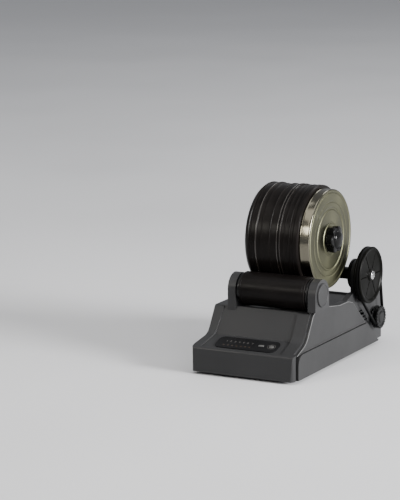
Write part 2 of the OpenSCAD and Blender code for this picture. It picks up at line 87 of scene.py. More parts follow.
def rounded(corners, closed=False, steps=6):
    """A line through (a, b, radius) corners, where each radius above 0 becomes an arc."""
    out, count = [], len(corners)
    for i, (a, b, radius) in enumerate(corners):
        here = Vector((a, b))
        at_end = not closed and i in (0, count - 1)
        if radius <= 0 or at_end:
            out.append(here)
            continue
        before = Vector(corners[i - 1][:2]) - here
        after = Vector(corners[(i + 1) % count][:2]) - here
        half = before.angle(after) / 2
        reach = min(radius / math.tan(half), 0.49 * before.length, 0.49 * after.length)
        radius = reach * math.tan(half)
        inward = (before.normalized() + after.normalized()).normalized()
        middle = here + inward * radius / math.sin(half)
        start = here + before.normalized() * reach - middle
        end = here + after.normalized() * reach - middle
        turn = math.atan2(start.x * end.y - start.y * end.x, start.dot(end))
        for k in range(steps + 1):
            out.append(middle + Matrix.Rotation(turn * k / steps, 2) @ start)
    return out


def arc(middle, radius, start, end, steps):
    """Points of an arc; angles in degrees."""
    angles = [math.radians(start + (end - start) * i / steps) for i in range(steps + 1)]
    return [Vector((middle[0] + radius * math.cos(t), middle[1] + radius * math.sin(t)))
            for t in angles]


def refined(line, spacing, closed=False):
    """The same line with points no further apart than about the spacing."""
    out = []
    for a, b in zip(line, line[1:] + line[:1] if closed else line[1:]):
        steps = max(1, int((b - a).length / spacing))
        out += [a.lerp(b, k / steps) for k in range(steps)]
    return out if closed else out + [line[-1]]


def piece(name, points, faces, material, body, slot, replaces=(), sharp=40):
    """A mesh object from points in millimetres, cleaned, shaded, and riding on its body."""
    mesh = bpy.data.meshes.new(name)
    mesh.from_pydata([Vector(p) * MM for p in points], [], faces)
    bm = bmesh.new()
    bm.from_mesh(mesh)
    bmesh.ops.remove_doubles(bm, verts=bm.verts, dist=1e-7)
    bmesh.ops.dissolve_degenerate(bm, edges=bm.edges, dist=1e-7)
    bmesh.ops.recalc_face_normals(bm, faces=bm.faces)
    bm.to_mesh(mesh)
    bm.free()
    mesh.shade_smooth()
    mesh.set_sharp_from_angle(angle=math.radians(sharp))
    mesh.materials.append(material)
    made = added(name, mesh)
    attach(made, body)
    if replaces:
        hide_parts(*replaces)
    return made


def grid_faces(rows, columns, wrap_rows, wrap_columns):
    """Quads between neighbouring rows and columns of points that were added row by row."""
    faces = []
    for i in range(rows if wrap_rows else rows - 1):
        for k in range(columns if wrap_columns else columns - 1):
            a, b = i * columns, (i + 1) % rows * columns
            c, d = k, (k + 1) % columns
            faces.append([a + c, a + d, b + d, b + c])
    return faces


def turned_points(outline, y, z, segments, shape=None):
    """The outline's (x, radius) points swept about the X axis line at (y, z).
    shape(angle, x, r) may return a changed (x, r), for lobes and grooves."""
    points = []
    for i in range(segments):
        angle = math.tau * i / segments
        for x, r in outline:
            if shape:
                x, r = shape(angle, x, r)
            points.append((x, y + r * math.cos(angle), z + r * math.sin(angle)))
    return points


def turned(name, outline, y, z, material, body, slot, replaces=(), closed=True, segments=160,
           shape=None, sharp=40):
    """A piece made of an outline swept about an axis line along X."""
    points = turned_points(outline, y, z, segments, shape)
    faces = grid_faces(segments, len(outline), True, closed)
    return piece(name, points, faces, material, body, slot, replaces, sharp)


def solids(parts):
    """Points and faces of several (points, faces) parts as one mesh."""
    points, faces = [], []
    for some_points, some_faces in parts:
        faces += [[len(points) + i for i in face] for face in some_faces]
        points += some_points
    return points, faces


def prism(outline, low, high, place):
    """(points, faces) of a flat outline extruded from low to high; place maps (u, v, w) to a point."""
    count = len(outline)
    points = [place(u, v, w) for w in (low, high) for u, v in outline]
    faces = [list(range(count))[::-1], list(range(count, 2 * count))]
    faces += [[i, (i + 1) % count, count + (i + 1) % count, count + i] for i in range(count)]
    return points, faces


# ---- Materials ----

def add(tree, kind, **settings):
    """A new node; each setting goes to the input of that name, or else to the node's own property."""
    made = tree.nodes.new(kind)
    for key, value in settings.items():
        if key in made.inputs:
            made.inputs[key].default_value = value
        else:
            setattr(made, key, value)
    return made


def ramp(tree, value, low, high, start=0.35, end=0.65):
    """Maps a factor from low to high between start and end."""
    made = add(tree, "ShaderNodeMapRange")
    for key, number in (("From Min", start), ("From Max", end), ("To Min", low), ("To Max", high)):
        made.inputs[key].default_value = number
    tree.links.new(value, made.inputs["Value"])
    return made.outputs["Result"]


def noise(tree, place, scale, detail=4.0, stretch=(1, 1, 1), rough=0.5):
    """A noise factor over a position, which is stretched first."""
    mapping = add(tree, "ShaderNodeMapping")
    mapping.inputs["Scale"].default_value = stretch
    tree.links.new(place, mapping.inputs["Vector"])
    made = add(tree, "ShaderNodeTexNoise", Scale=scale, Detail=detail, Roughness=rough)
    tree.links.new(mapping.outputs["Vector"], made.inputs["Vector"])
    return made.outputs["Fac"]


def surface(name, colour, roughness, metallic=0.0, grain=1800, grain_depth=0.02, mottle=0.12,
            patch=35, wear_and_highlight=0.25, streaks=0.0, specular=0.5, anisotropic=0.0, shine=0.25):
    """A material with mottled colour, grain, edges lightened partly as wear and partly as a painted
    highlight, and uneven gloss. colour is linear RGB;
    grain and patch are noise scales per metre; streaks is the depth of fine rings across X;
    grain_depth and streaks are in millimetres."""
    made = bpy.data.materials.new(name)
    made.use_nodes = True
    tree = made.node_tree
    shader = tree.nodes["Principled BSDF"]
    shader.inputs["Metallic"].default_value = metallic
    shader.inputs["Specular IOR Level"].default_value = specular
    shader.inputs["Anisotropic"].default_value = anisotropic
    place = add(tree, "ShaderNodeTexCoord").outputs["Object"]
    patches = noise(tree, place, patch, 5.0)
    fine = noise(tree, place, grain, 3.0)
    darker = [c * (1 - mottle) for c in colour]
    lighter = [min(1.0, c * (1 + mottle)) for c in colour]
    tone = add(tree, "ShaderNodeMix", data_type="RGBA")
    tone.inputs["A"].default_value = (*darker, 1)
    tone.inputs["B"].default_value = (*lighter, 1)
    tree.links.new(ramp(tree, patches, 0, 1), tone.inputs["Factor"])
    # Pointiness lightens the edges: this is partly wear and partly a painted highlight along them.
    edges = add(tree, "ShaderNodeNewGeometry").outputs["Pointiness"]
    wear_and_highlight_mask = add(tree, "ShaderNodeMath", operation="MULTIPLY")
    tree.links.new(ramp(tree, edges, 0, wear_and_highlight, 0.52, 0.57), wear_and_highlight_mask.inputs[0])
    tree.links.new(ramp(tree, noise(tree, place, 160, 3.0), 0.6, 1), wear_and_highlight_mask.inputs[1])
    edge_tone = add(tree, "ShaderNodeMix", data_type="RGBA")
    edge_tone.inputs["B"].default_value = (*[min(1.0, c * 2.2 + 0.02) for c in colour], 1)
    tree.links.new(wear_and_highlight_mask.outputs["Value"], edge_tone.inputs["Factor"])
    tree.links.new(tone.outputs["Result"], edge_tone.inputs["A"])
    tree.links.new(edge_tone.outputs["Result"], shader.inputs["Base Color"])
    gloss = add(tree, "ShaderNodeMath", operation="ADD")
    duller = ramp(tree, patches, roughness * (1 - shine), roughness * (1 + shine))
    tree.links.new(duller, gloss.inputs[0])
    tree.links.new(ramp(tree, fine, -0.02, 0.02), gloss.inputs[1])
    tree.links.new(gloss.outputs["Value"], shader.inputs["Roughness"])
    bump = add(tree, "ShaderNodeBump", Strength=0.35, Distance=grain_depth * MM)
    tree.links.new(fine, bump.inputs["Height"])
    normal = bump.outputs["Normal"]
    if streaks:
        rings = add(tree, "ShaderNodeBump", Strength=0.5, Distance=streaks * MM)
        tree.links.new(noise(tree, place, 1.0, 4.0, (2400, 14, 14), 0.7), rings.inputs["Height"])
        tree.links.new(normal, rings.inputs["Normal"])
        normal = rings.outputs["Normal"]
    tree.links.new(normal, shader.inputs["Normal"])
    return made


def radius_from(tree, middle_y, middle_z):
    """Distance in metres from the X axis line at (middle_y, middle_z), given in millimetres."""
    place = add(tree, "ShaderNodeTexCoord").outputs["Object"]
    moved = add(tree, "ShaderNodeVectorMath", operation="SUBTRACT")
    moved.inputs[1].default_value = (0, middle_y * MM, middle_z * MM)
    tree.links.new(place, moved.inputs[0])
    flat = add(tree, "ShaderNodeVectorMath", operation="MULTIPLY")
    flat.inputs[1].default_value = (0, 1, 1)
    tree.links.new(moved.outputs["Vector"], flat.inputs[0])
    radius = add(tree, "ShaderNodeVectorMath", operation="LENGTH")
    tree.links.new(flat.outputs["Vector"], radius.inputs[0])
    return radius.outputs["Value"]


def turned_metal(name, colour, roughness, middle_y, middle_z):
    """Metal turned on a lathe about the X axis line at (middle_y, middle_z), in millimetres:
    fine concentric lines on its faces and lines along the rim on its band."""
    made = surface(name, colour, roughness, metallic=1.0, grain=900, grain_depth=0.004, mottle=0.07,
                   patch=28, wear_and_highlight=0.4, anisotropic=0.45, shine=0.18)
    tree = made.node_tree
    shader = tree.nodes["Principled BSDF"]
    split = add(tree, "ShaderNodeSeparateXYZ")
    tree.links.new(add(tree, "ShaderNodeTexCoord").outputs["Object"], split.inputs["Vector"])
    joined = add(tree, "ShaderNodeCombineXYZ")
    tree.links.new(radius_from(tree, middle_y, middle_z), joined.inputs["X"])
    tree.links.new(split.outputs["X"], joined.inputs["Y"])
    lines = noise(tree, joined.outputs["Vector"], 2600, 5.0, (1, 1, 1), 0.75)
    bump = add(tree, "ShaderNodeBump", Strength=0.3, Distance=0.006 * MM)
    tree.links.new(lines, bump.inputs["Height"])
    tree.links.new(shader.inputs["Normal"].links[0].from_socket, bump.inputs["Normal"])
    tree.links.new(bump.outputs["Normal"], shader.inputs["Normal"])
    tangent = add(tree, "ShaderNodeTangent", direction_type="RADIAL", axis="X")
    tree.links.new(tangent.outputs["Tangent"], shader.inputs["Tangent"])
    return made


def beyond_radius(material, turned_part, low, high, values):
    """Gives what lies beyond the radius low..high from the part's axis line other shader values."""
    tree = material.node_tree
    shader = tree.nodes["Principled BSDF"]
    factor = ramp(tree, radius_from(tree, turned_part.y, turned_part.z), 0, 1, low * MM, high * MM)
    for name, value in values.items():
        socket = shader.inputs[name]
        kind = "RGBA" if name == "Base Color" else "FLOAT"
        inside, beyond, result = MIX_SOCKETS[kind]
        mixed = add(tree, "ShaderNodeMix", data_type=kind)
        tree.links.new(factor, mixed.inputs["Factor"])
        if socket.links:
            tree.links.new(socket.links[0].from_socket, mixed.inputs[inside])
        else:
            mixed.inputs[inside].default_value = socket.default_value
        mixed.inputs[beyond].default_value = value
        tree.links.new(mixed.outputs[result], socket)


BARREL = Turned("barrel")
LID = Turned("outer_lid")

MOULDED = {"grain": 2600, "grain_depth": 0.03, "mottle": 0.05, "patch": 14, "wear_and_highlight": 0.0, "specular": 0.18}
HOUSING = surface("housing_grey", (0.0250, 0.0250, 0.0257), 0.40, **MOULDED)
TRIM = surface("trim_grey", (0.0220, 0.0220, 0.0224), 0.40, **MOULDED)
# A light grey for the bevelled edges of the housing, tray and side cover: a painted highlight along the
# rounded edges.
EDGE_HIGHLIGHT = surface("painted_edge_highlight", (0.130, 0.130, 0.130), 0.36, grain=2600, grain_depth=0.03, mottle=0.15,
                    patch=60, wear_and_highlight=0.0, specular=0.3)
BARREL_RUBBER = surface("barrel_black", (0.0060, 0.0049, 0.0044), 0.30, grain=1500, grain_depth=0.003,
                        mottle=0.2, wear_and_highlight=0.3, specular=0.07, shine=0.1)
ROLLER_RUBBER = surface("roller_black", (0.0045, 0.0036, 0.0034), 0.36, grain=1500, grain_depth=0.002,
                        mottle=0.2, wear_and_highlight=0.2, specular=0.08, shine=0.1)
BELT_RUBBER = surface("belt_black", (0.0035, 0.0035, 0.0035), 0.5, grain=2200, grain_depth=0.03, wear_and_highlight=0.1,
                      specular=0.10)
BLACK = surface("moulded_black", (0.0028, 0.0028, 0.0028), 0.30, grain=2400, grain_depth=0.02,
                specular=0.16)
KNOB = surface("knob_black", (0.005, 0.005, 0.005), 0.15, grain=1200, grain_depth=0.001, mottle=0.1,
               wear_and_highlight=0.0, specular=0.10, shine=0.05)
# The pulley's lightened edges are a painted highlight on its rim.
PULLEY = surface("pulley_dark", (0.0018, 0.0018, 0.0014), 0.38, grain=2200, grain_depth=0.02, wear_and_highlight=0.5,
                 specular=0.045)
OVERLAY = surface("overlay_black", (0.0085, 0.0085, 0.0090), 0.30, grain=3000, grain_depth=0.004, wear_and_highlight=0.1,
                  specular=0.08)
INK = surface("panel_ink", (0.060, 0.055, 0.052), 0.5, grain=3000, grain_depth=0.005)
KEYS = surface("key_grey", (0.060, 0.060, 0.058), 0.42, grain=2600, grain_depth=0.01)
LENS = surface("lens_amber", (0.035, 0.024, 0.016), 0.25, grain=2000, grain_depth=0.004)
BOARD = surface("board_green", (0.02, 0.13, 0.05), 0.35, grain=700, grain_depth=0.02)
IVORY = surface("bushing_ivory", (0.55, 0.53, 0.47), 0.4, grain=2000, grain_depth=0.01)
STEEL = surface("bright_steel", (0.60, 0.60, 0.60), 0.16, metallic=1.0, grain=900, grain_depth=0.004,
                streaks=0.01, wear_and_highlight=0.2)
ZINC = surface("zinc_steel", (0.42, 0.42, 0.43), 0.34, metallic=1.0, grain=700, grain_depth=0.01)
BRASS = surface("turned_brass", (0.62, 0.45, 0.18), 0.25, metallic=1.0, grain=900, grain_depth=0.004,
                streaks=0.01)
NICKEL = turned_metal("turned_nickel", (0.103, 0.102, 0.064), 0.40, LID.y, LID.z)
# The ridge crests are glossier, and their lighter colour is a painted highlight along the ridges.
beyond_radius(BARREL_RUBBER, BARREL, BARREL.r - 0.26, BARREL.r - 0.14,
              {"Base Color": (0.022, 0.018, 0.015, 1), "Roughness": 0.16, "Specular IOR Level": 0.6})
beyond_radius(NICKEL, LID, LID.r - 1.6, LID.r - 0.9,
              {"Base Color": (0.150, 0.140, 0.108, 1), "Roughness": 0.15})


# ---- CAD nodes that keep their own shape ----

def smooth_group(limit):
    """A geometry node group that shades smooth, with hard edges above the limit in degrees."""
    group = bpy.data.node_groups.new("smooth_by_angle", "GeometryNodeTree")
    group.interface.new_socket("Geometry", in_out="INPUT", socket_type="NodeSocketGeometry")
    group.interface.new_socket("Geometry", in_out="OUTPUT", socket_type="NodeSocketGeometry")
    start, end = add(group, "NodeGroupInput"), add(group, "NodeGroupOutput")
    whole = add(group, "GeometryNodeSetShadeSmooth", domain="FACE")
    edges = add(group, "GeometryNodeSetShadeSmooth", domain="EDGE")
    edges.inputs["Shade Smooth"].default_value = False
    angle = add(group, "GeometryNodeInputMeshEdgeAngle")
    over = add(group, "FunctionNodeCompare", data_type="FLOAT", operation="GREATER_THAN")
    over.inputs["B"].default_value = math.radians(limit)
    group.links.new(angle.outputs["Unsigned Angle"], over.inputs["A"])
    group.links.new(start.outputs[0], whole.inputs["Geometry"])
    group.links.new(whole.outputs["Geometry"], edges.inputs["Geometry"])
    group.links.new(over.outputs["Result"], edges.inputs["Selection"])
    group.links.new(edges.outputs["Geometry"], end.inputs[0])
    return group


SMOOTH = smooth_group(38)


def dress(node, material, edge=0.0, edge_material=None):
    """Gives a CAD node its material, and rounds its edges by edge millimetres with modifiers.
    The rounded edges can have their own material."""
    shown = NODES[node]
    shown.data.materials.clear()
    shown.data.materials.append(material)
    weld = shown.modifiers.new("weld", "WELD")
    weld.merge_threshold = 0.002 * MM
    if edge:
        flatten = shown.modifiers.new("flatten", "DECIMATE")
        flatten.decimate_type = "DISSOLVE"
        flatten.angle_limit = math.radians(0.4)
        bevel = shown.modifiers.new("bevel", "BEVEL")
        bevel.width = edge * MM
        bevel.segments = 3
        bevel.limit_method = "ANGLE"
        bevel.angle_limit = math.radians(32)
        bevel.miter_outer = "MITER_ARC"
        if edge_material:
            shown.data.materials.append(edge_material)
            bevel.material = 1
    smooth = shown.modifiers.new("smooth", "NODES")
    smooth.node_group = SMOOTH
    weighted = shown.modifiers.new("weighted", "WEIGHTED_NORMAL")
    weighted.keep_sharp = True


# The bevels of these three parts get the light edge grey, which is a painted highlight along their edges.
dress("upper_housing", HOUSING, edge=0.9, edge_material=EDGE_HIGHLIGHT)
dress("base_tray", TRIM, edge=0.6, edge_material=EDGE_HIGHLIGHT)
dress("drive_side_cover", TRIM, edge=0.8, edge_material=EDGE_HIGHLIGHT)
for dressed, finish, round_mm in (
        ("indicator_lights", LENS, 0), ("power_button", KEYS, 0.25), ("timer_button", KEYS, 0.25),
        ("control_board", BOARD, 0), ("key_switches", BLACK, 0), ("housing_screws", STEEL, 0.3),
        ("front_roller_shaft", STEEL, 0.3), ("rear_roller_shaft", STEEL, 0.3),
        ("front_bushings", IVORY, 0.2), ("rear_bushings", IVORY, 0.2), ("motor_shaft", STEEL, 0.3),
        ("gearhead", ZINC, 0.5), ("motor", ZINC, 0.6), ("motor_bracket", ZINC, 0.3),
        ("motor_screws", STEEL, 0.2), ("dc_inlet", BLACK, 0.4), ("inner_lid", NICKEL, 0.4),
        ("lid_stud", STEEL, 0.3), ("lid_washer", STEEL, 0.2), ("knob_insert", BRASS, 0)):
    dress(dressed, finish, edge=round_mm)


# ---- Barrel, lid and knob ----

def bead(x, height, half, base):
    """Corners of a small round ridge on a turned outline."""
    return [(x - half, base, half * 0.6), (x - half * 0.45, base + height, half * 0.5),
            (x + half * 0.45, base + height, half * 0.5), (x + half, base, half * 0.6)]


def make_barrel():
    """The hollow rubber barrel with its ridges, the lid's neck and the seat inside it."""
    top = BARREL.r
    body = top - 1.2
    x0, x1 = BARREL.x0, BARREL.x1
    shoulder = x1 - 9
    neck_r, seat_r, cavity_r = LID.r - 1.9, LID.r - 5.3, LID.r - 7.5
    seat_x, floor_x = shoulder + 0.6, x0 + 6
    outline = [(x0 + 0.6, 0, 0), (x0 + 0.6, 19, 0.5), (x0, 20, 0.5), (x0, 23, 0.5), (x0 + 0.6, 24, 0.5),
               (x0 + 0.6, 45, 0.5), (x0, 46.5, 0.5), (x0, top - 3.6, 3.2), (x0 + 4.2, top - 0.3, 1.6),
               (x0 + 5.1, top - 0.3, 0.4), (x0 + 5.7, body, 0.4)]
    for x, height, half in ((7.6, 0.3, 0.6), (14.1, 1.14, 1.0), (20.2, 0.3, 0.7), (30, 0.8, 0.7),
                            (39, 1.12, 0.9), (42.3, 1.08, 0.7), (47.2, 0.4, 0.7), (53.0, 0.7, 0.6)):
        outline += bead(x0 + x, height, half, body)
    outline += [(shoulder - 6.6, body, 0.4), (shoulder - 5.6, top - 0.3, 0.6),
                (shoulder - 1.5, top - 0.3, 0.8), (shoulder, top - 1.5, 0.6), (shoulder, neck_r, 0.4),
                (x1, neck_r, 0.5), (x1, seat_r, 0.4), (seat_x, seat_r, 0.2), (seat_x, cavity_r, 0.6),
                (floor_x, cavity_r, 3), (floor_x, 0, 0)]
    turned("barrel_shell", rounded(outline), BARREL.y, BARREL.z, BARREL_RUBBER, "barrel_body",
           "barrel_rubber", ["barrel"], closed=False, segments=256)


def make_lid():
    """The outer lid: a pressed cap with embossed rings, a turned-down band and a bore for the stud."""
    r, x0, x1 = LID.r, LID.x0, LID.x1
    thick, bore = 1.2, 3.4
    front = [(x1, bore, 0), (x1, 15.8, 0.5), (x1 - 0.55, 16.6, 0.5), (x1 - 0.55, 17.6, 0.4),
             (x1 - 0.15, 18.4, 0.4), (x1 - 0.15, 30.8, 0.4), (x1 - 0.75, 31.8, 0.5), (x1 - 0.75, 33.2, 0.5),
             (x1 - 0.05, 34.4, 0.5), (x1 - 0.05, 38.6, 0.5), (x1 - 0.35, 39.4, 0.4), (x1 - 0.35, 40.2, 0.4),
             (x1 - 0.05, 41, 0.5), (x1 - 0.05, r - 4.8, 0.8), (x1 - 0.6, r - 3.9, 0.5), (x1, r - 3.0, 0.6),
             (x1, r - 0.25, 2.0), (x1 - 3.2, r - 0.4, 1.5), (x0 + 2, r - 0.3, 0.6),
             (x0 + 1.4, r, 0.4), (x0, r, 0.45)]
    back = [(x0, r - thick, 0.4), (x1 - 3, r - thick, 1.0), (x1 - thick - 0.8, r - 3.6, 0.8),
            (x1 - thick - 0.8, bore, 0)]
    turned("lid_cap", rounded(front + back, closed=True, steps=5), LID.y, LID.z, NICKEL,
           "outer_lid_body", "lid_nickel", ["outer_lid"], segments=256)


def make_knob():
    """The six-lobed knob with a domed face and a blind hole for its insert."""
    knob = Turned("lid_knob")
    x0, x1 = knob.x0, knob.x1
    reach = (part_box("lid_knob")[1].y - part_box("lid_knob")[0].y) / 2 / MM
    lobes, dome, rim, flute, insert_r = 6, 9.6, 7.4, 3.4, 5.1

    def lobed(angle, x, radius):
        """Deep rounded flutes between six lobes, fading out towards the domed middle."""
        swell = (1 + math.cos(lobes * angle)) / 2
        depth = min(1.0, max(0.0, (radius - dome) / (reach - dome)))
        return x, radius - depth * depth * flute * (1 - swell ** 0.7)

    outline = rounded([(x0, insert_r, 0), (x0, reach - 0.6, 0.4), (x0 + rim, reach, 1.6),
                       (x0 + rim + 0.2, dome + 0.9, 0.7)], steps=8)
    outline += [Vector((x0 + rim + 0.2 + (x1 - x0 - rim - 0.2) * math.sin(t), dome * math.cos(t)))
                for t in (math.radians(4 + 86 * i / 16) for i in range(17))]
    hole = [Vector((x1 - 3.6, 0)), Vector((x1 - 3.6, insert_r))]
    turned("knob_cap", hole + outline, knob.y, LID.z, KNOB, "knob_body", "knob_plastic",
           ["lid_knob"], closed=False, segments=360, shape=lobed, sharp=60)


# ---- Rollers ----

def make_sleeve(name, node, body, bore, bands=()):
    """A roller's rubber tube over its bore radius, with a fine groove at each x in bands."""
    part = Turned(node)
    outline = [(part.x0, bore, 0), (part.x0, part.r, 0.9)]
    for x in bands:
        outline += [(x - 0.5, part.r, 0.15), (x - 0.2, part.r - 0.35, 0.1), (x + 0.2, part.r - 0.35, 0.1),
                    (x + 0.5, part.r, 0.15)]
    outline += [(part.x1, part.r, 0.9), (part.x1, bore, 0)]
    turned(name, rounded(outline, closed=True), part.y, part.z, ROLLER_RUBBER, body, "black_rubber", [node])


def make_rollers():
    """Both rubber tubes, the front roller's two end rings and the rear roller's neck and collar."""
    front = Turned("front_roller_sleeve")
    inset = 2.2
    make_sleeve("front_roller_tube", "front_roller_sleeve", "front_roller", SHAFT_R,
                (front.x0 + inset, front.x1 - inset))
    make_sleeve("rear_roller_tube", "rear_roller_sleeve", "rear_roller", ROLLER_NECK_R)
    collars, core = Turned("front_roller_collars"), Turned("rear_roller_core")
    parts = []
    for low, high in ((collars.x0, front.x0), (front.x1, collars.x1)):
        outline = rounded([(low, SHAFT_R, 0), (low, collars.r, 0.7), (high, collars.r, 0.7),
                           (high, SHAFT_R, 0)], closed=True)
        parts.append((turned_points(outline, collars.y, collars.z, 128),
                      grid_faces(128, len(outline), True, True)))
    piece("front_roller_rings", *solids(parts), BLACK, "front_roller", "black_plastic",
          ["front_roller_collars"])
    neck, collar = ROLLER_NECK_R, core.x1 - 2.8
    outline = rounded([(core.x0, SHAFT_R, 0), (core.x0, neck, 0.4), (collar - 2.4, neck, 2.2),
                       (collar, neck + 2.6, 0.4), (collar, core.r, 0.6), (core.x1, core.r, 0.6),
                       (core.x1, SHAFT_R, 0)], closed=True)
    turned("rear_roller_neck", outline, core.y, core.z, BLACK, "rear_roller", "black_plastic",
           ["rear_roller_core"])


def make_caps():
    """Shallow dished bearing caps on the outer faces of the posts."""
    low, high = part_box("bearing_caps")
    thick, r = 1.6, Turned("front_roller_sleeve").r - 5.5
    front, rear = Turned("front_roller_shaft"), Turned("rear_roller_shaft")
    left, right = low.x / MM + thick, high.x / MM - thick
    caps = ((right, 1, front.y), (left, -1, front.y), (left, -1, rear.y))
    parts = []
    for x, way, y in caps:
        outline = [(x, 0, 0), (x, r, 0), (x + way * thick, r, 0.7), (x + way * thick, r - 1.4, 0.3),
                   (x + way * (thick - 0.35), r - 1.9, 0.3), (x + way * (thick - 0.35), 0, 0)]
        line = rounded(outline)
        parts.append((turned_points(line, y, front.z, 128), grid_faces(128, len(line), True, False)))
    piece("bearing_covers", *solids(parts), TRIM, "base", "trim_plastic", ["bearing_caps"])


# ---- Belt drive ----

def make_pulley():
    """The large drive pulley with its belt groove, dished web and six radial lines."""
    pulley, belt = Turned("drive_pulley"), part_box("drive_belt")
    r, x1 = pulley.r, pulley.x1
    middle = (belt[0].x + belt[1].x) / 2 / MM
    groove, deep = GROOVE_HALF, GROOVE_DEPTH
    disc, hub_r = pulley.x0 + 1.2, 9
    outline = rounded([(x1, SHAFT_R, 0), (x1, 6.2, 0.4), (x1 - 1.2, 7.2, 0.5), (x1 - 1.5, r - 4.6, 1.0),
                       (x1 - 0.3, r - 3.2, 0.6), (x1, r - 1.2, 0.8), (x1 - 1.0, r, 0.6),
                       (middle + groove + 0.5, r, 0.4), (middle + groove, r - deep, 0.3),
                       (middle - groove, r - deep, 0.3), (middle - groove - 0.5, r, 0.4), (disc, r, 0.6),
                       (disc, hub_r, 0.3), (pulley.x0, hub_r, 0.3), (pulley.x0, SHAFT_R, 0)],
                      closed=True, steps=5)
    spokes, width, cut = 6, 0.75, 1.1

    def grooved(angle, x, radius):
        """Six narrow radial grooves in the web."""
        if x < x1 - 1.9 or not 8.2 < radius < r - 5.2:
            return x, radius
        turn = math.tau / spokes
        offset = (angle + turn / 2) % turn - turn / 2
        across = abs(offset) * radius
        return x - cut * max(0.0, 1 - (across / width) ** 4) if across < width else x, radius

    turned("drive_wheel", refined(outline, 1.2, closed=True), pulley.y, pulley.z, PULLEY, "rear_roller",
           "pulley_plastic", ["drive_pulley"], segments=480, shape=grooved)


def make_pulley_screw():
    """The bright centre screw with a domed head."""
    screw = Turned("pulley_screw")
    x0, x1, r = screw.x0, screw.x1, screw.r
    shank = 3.9
    outline = rounded([(x0, 0, 0), (x0, shank, 0.2), (x1 - 1.9, shank, 0.1), (x1 - 1.9, r, 0.3),
                       (x1 - 1.0, r, 0.7), (x1 - 0.2, 2.6, 1.5), (x1, 1.4, 0), (x1, 0, 0)])

    def crossed(angle, x, radius):
        """A cross-shaped recess in the domed head."""
        if x < x1 - 1.0 or radius > 3.3:
            return x, radius
        across = min(abs(radius * math.sin(angle)), abs(radius * math.cos(angle)))
        return (x - 1.1 if across < 0.5 else x), radius

    turned("wheel_screw", refined(outline, 0.25), screw.y, screw.z, STEEL, "rear_roller", "bright_steel",
           ["pulley_screw"], closed=False, segments=120, shape=crossed)


def make_motor_pulley():
    """The small motor pulley with its belt groove and finely ribbed flanges."""
    pulley, belt = Turned("motor_pulley"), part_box("drive_belt")
    r, x0, x1 = pulley.r, pulley.x0, pulley.x1
    middle = (belt[0].x + belt[1].x) / 2 / MM
    groove, deep, shaft_r = GROOVE_HALF, GROOVE_DEPTH, 2.5
    outline = rounded([(x1 - 0.1, 0, 0), (x1 - 0.1, 5.6, 0.4), (x1 - 0.9, 7.0, 0.4), (x1 - 0.9, r - 3.4, 0.4),
                       (x1, r - 2.4, 0.5), (x1 - 0.3, r, 0.8), (middle + groove + 0.5, r, 0.3),
                       (middle + groove, r - deep, 0.2), (middle - groove, r - deep, 0.2),
                       (middle - groove - 0.5, r, 0.3), (x0, r, 0.3), (x0, shaft_r, 0),
                       (x1 - 0.35, shaft_r, 0), (x1 - 0.35, 0, 0)], steps=4)
    ribs, rib_depth, flange = 20, 1.0, 2.6

    def ribbed(angle, x, radius):
        """Fine ribs around the two flanges."""
        in_groove = abs(x - middle) < groove + 0.6
        if radius < r - flange or in_groove:
            return x, radius
        return x, radius - rib_depth * (0.5 - 0.5 * math.cos(ribs * angle)) ** 1.5

    turned("motor_wheel", outline, pulley.y, pulley.z, BLACK, "motor_drive", "black_plastic",
           ["motor_pulley"], closed=False, segments=400, shape=ribbed)


def make_belt():
    """Rounded belt section swept along the two tangent lines and the two arcs."""
    big, small = Turned("drive_pulley"), Turned("motor_pulley")
    low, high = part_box("drive_belt")
    middle, half_w, half_t = (low.x + high.x) / 2 / MM, (high.x - low.x) / 2 / MM, BELT_HALF_T
    run = -GROOVE_DEPTH + BELT_LIFT + half_t
    r1, r2 = big.r + run, small.r + run
    p1, p2 = Vector((big.y, big.z)), Vector((small.y, small.z))
    between = p2 - p1
    along = math.degrees(math.atan2(between.y, between.x))
    wrap = math.degrees(math.acos((r1 - r2) / between.length))
    path = arc(p1, r1, along + wrap, along + 360 - wrap, 120)
    path += arc(p2, r2, along - wrap, along + wrap, 60)
    section = rounded([(-half_w, -half_t, 0.5), (half_w, -half_t, 0.5), (half_w, half_t, 0.5),
                       (-half_w, half_t, 0.5)], closed=True, steps=4)
    points = []
    for i, here in enumerate(path):
        ahead = (path[(i + 1) % len(path)] - path[i - 1]).normalized()
        out = Vector((ahead.y, -ahead.x))
        for a, b in section:
            at = here + out * b
            points.append((middle + a, at.x, at.y))
    faces = grid_faces(len(path), len(section), True, True)
    piece("drive_band", points, faces, BELT_RUBBER, "base", "belt_rubber", ["drive_belt"])


# ---- Small trim ----

def make_feet():
    """Four round rubber feet with a shallow hollow underneath, one at each corner of the node's box."""
    low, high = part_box("rubber_feet")
    r = 7.0
    spots = [(x, y) for x in (low.x / MM + r, high.x / MM - r) for y in (low.y / MM + r, high.y / MM - r)]
    tall = high.z / MM
    line = rounded([(tall, 0, 0), (tall, r, 0.2), (0.8, r, 0.7), (0, r - 1.0, 0.4), (0, 4.2, 0.2),
                    (0.5, 3.6, 0.3), (0.5, 0, 0)])
    parts, around = [], 96
    for x, y in spots:
        points = []
        for i in range(around):
            angle = math.tau * i / around
            points += [(x + b * math.cos(angle), y + b * math.sin(angle), a) for a, b in line]
        parts.append((points, grid_faces(around, len(line), True, False)))
    piece("foot_pads", *solids(parts), ROLLER_RUBBER, "base", "black_rubber", ["rubber_feet"])


# The bars of a seven-bar digit: a top, b and c right, d bottom, e and f left, g middle.
SEGMENTS = {"1": "bc", "2": "abged", "3": "abgcd", "4": "fgbc", "5": "afgcd", "6": "afgedc", "7": "abc"}


def bar_outline(u, v, wide, tall):
    """The corners of a bar around its middle (u, v)."""
    return [(u - wide / 2, v - tall / 2), (u + wide / 2, v - tall / 2),
            (u + wide / 2, v + tall / 2), (u - wide / 2, v + tall / 2)]


